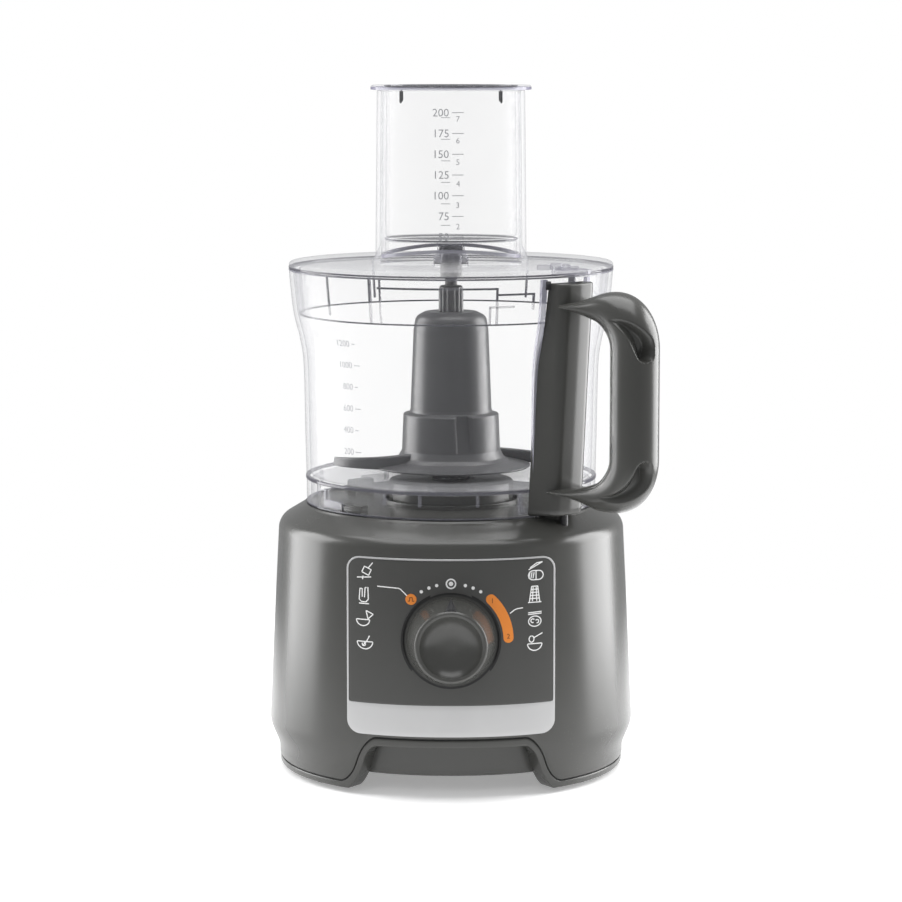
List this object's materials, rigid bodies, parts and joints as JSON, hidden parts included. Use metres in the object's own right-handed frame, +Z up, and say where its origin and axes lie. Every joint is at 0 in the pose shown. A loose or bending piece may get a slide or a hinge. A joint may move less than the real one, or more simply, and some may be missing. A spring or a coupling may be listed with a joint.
{
  "type": "food processor",
  "caption": "Compact food processor: belt-driven motor base with a speed knob, clear bowl with a side handle, lid, measuring pusher and dough tool.",
  "frame": {"origin": "centre of the whole object's footprint, on the table", "axes": "+Z up; the control panel and knob face -Y; the handle is at the front right"},
  "size_m": [0.2066, 0.2199, 0.37],
  "materials": {
    "body_plastic": "satin dark warm grey",
    "panel_plastic": "satin dark grey print",
    "silver": "silver lacquer",
    "clear": "clear polished plastic",
    "rubber": "matt black rubber",
    "tool_plastic": "fine satin dark grey",
    "steel": "ground steel",
    "zinc_plate": "zinc-plated sheet",
    "laminations": "stacked sheet iron",
    "copper": "enamelled copper wire",
    "brass": "turned brass",
    "nylon": "natural nylon",
    "black_plastic": "black moulded plastic",
    "board": "green circuit board",
    "carbon": "pressed carbon"
  },
  "bodies": {
    "base": {"motor_housing": "body_plastic", "base_tray": "body_plastic", "foot_front_left": "rubber", "foot_front_right": "rubber", "foot_back_left": "rubber", "foot_back_right": "rubber", "tray_screw_1": "steel", "tray_screw_2": "steel", "tray_screw_3": "steel", "tray_screw_4": "steel", "control_panel": "panel_plastic", "panel_trim": "silver", "rotary_switch": "black_plastic", "switch_bracket": "zinc_plate", "control_board": "board", "suppressor_capacitor": "nylon", "safety_switch": "black_plastic", "switch_spring": "steel", "cord_gland": "rubber", "chassis_plate": "zinc_plate", "spindle_bearing_lower": "brass", "spindle_bearing_upper": "brass", "spindle_seal": "rubber", "rotor_bearing_lower": "steel", "rotor_bearing_upper": "steel", "drive_belt": "rubber", "stator_core": "laminations", "field_coil_left_lower": "copper", "field_coil_left_upper": "copper", "field_coil_right_lower": "copper", "field_coil_right_upper": "copper", "end_bracket": "zinc_plate", "brush_holder_left": "brass", "brush_holder_right": "brass", "carbon_brush_left": "carbon", "carbon_brush_right": "carbon"},
    "knob": {"speed_knob": "body_plastic", "knob_shaft": "steel"},
    "spindle": {"drive_spindle": "steel", "drive_pulley": "black_plastic"},
    "rotor": {"motor_shaft": "steel", "armature": "laminations", "commutator": "copper", "cooling_fan": "nylon", "motor_pulley": "zinc_plate"},
    "bowl": {"bowl": "clear", "handle_column": "body_plastic", "handle_grip": "body_plastic", "interlock_spring": "steel"},
    "shaft": {"drive_shaft": "tool_plastic", "dough_tool": "tool_plastic"},
    "lid": {"lid": "clear", "lid_bearing": "nylon"},
    "pusher": {"pusher": "clear"},
    "interlock": {"interlock_rod": "black_plastic"},
    "switch": {"switch_plunger": "black_plastic"}
  },
  "joints": [
    {"name": "knob_turn", "type": "hinge", "parent": "base", "child": "knob", "pos_m": [-0.00389, -0.10186, 0.0842], "axis": [0, 1, 0], "range_deg": [-44, 88]},
    {"name": "spindle_spin", "type": "hinge", "parent": "base", "child": "spindle", "pos_m": [-0.00389, 0.00814, 0.02], "axis": [0, 0, 1], "continuous": true},
    {"name": "rotor_spin", "type": "hinge", "parent": "base", "child": "rotor", "pos_m": [-0.00389, 0.05615, 0.02], "axis": [0, 0, 1], "continuous": true},
    {"name": "bowl_lift", "type": "slide", "parent": "base", "child": "bowl", "axis": [0, 0, 1], "range_m": [0, 0.1]},
    {"name": "shaft_spin", "type": "hinge", "parent": "bowl", "child": "shaft", "pos_m": [-0.00389, 0.00814, 0.16], "axis": [0, 0, 1], "continuous": true},
    {"name": "lid_lift", "type": "slide", "parent": "bowl", "child": "lid", "axis": [0, 0, 1], "range_m": [0, 0.1]},
    {"name": "pusher_slide", "type": "slide", "parent": "lid", "child": "pusher", "axis": [0, 0, 1], "range_m": [0, 0.1]},
    {"name": "interlock_press", "type": "slide", "parent": "bowl", "child": "interlock", "axis": [0.0407, -0.0421, 0.9983], "range_m": [-0.003, 0], "stiffness_N_per_m": 300, "springref_m": 0.001, "deforming": ["interlock_spring"]},
    {"name": "switch_press", "type": "slide", "parent": "base", "child": "switch", "axis": [0, 0, 1], "range_m": [-0.0031, 0], "stiffness_N_per_m": 200, "springref_m": 0.001, "deforming": ["switch_spring"]}
  ],
  "couplings": [
    {"joint": "rotor_spin", "follows": "spindle_spin", "ratio": 4},
    {"joint": "shaft_spin", "follows": "spindle_spin", "ratio": 1},
    {"joint": "switch_press", "follows": "interlock_press", "ratio": 1}
  ]
}
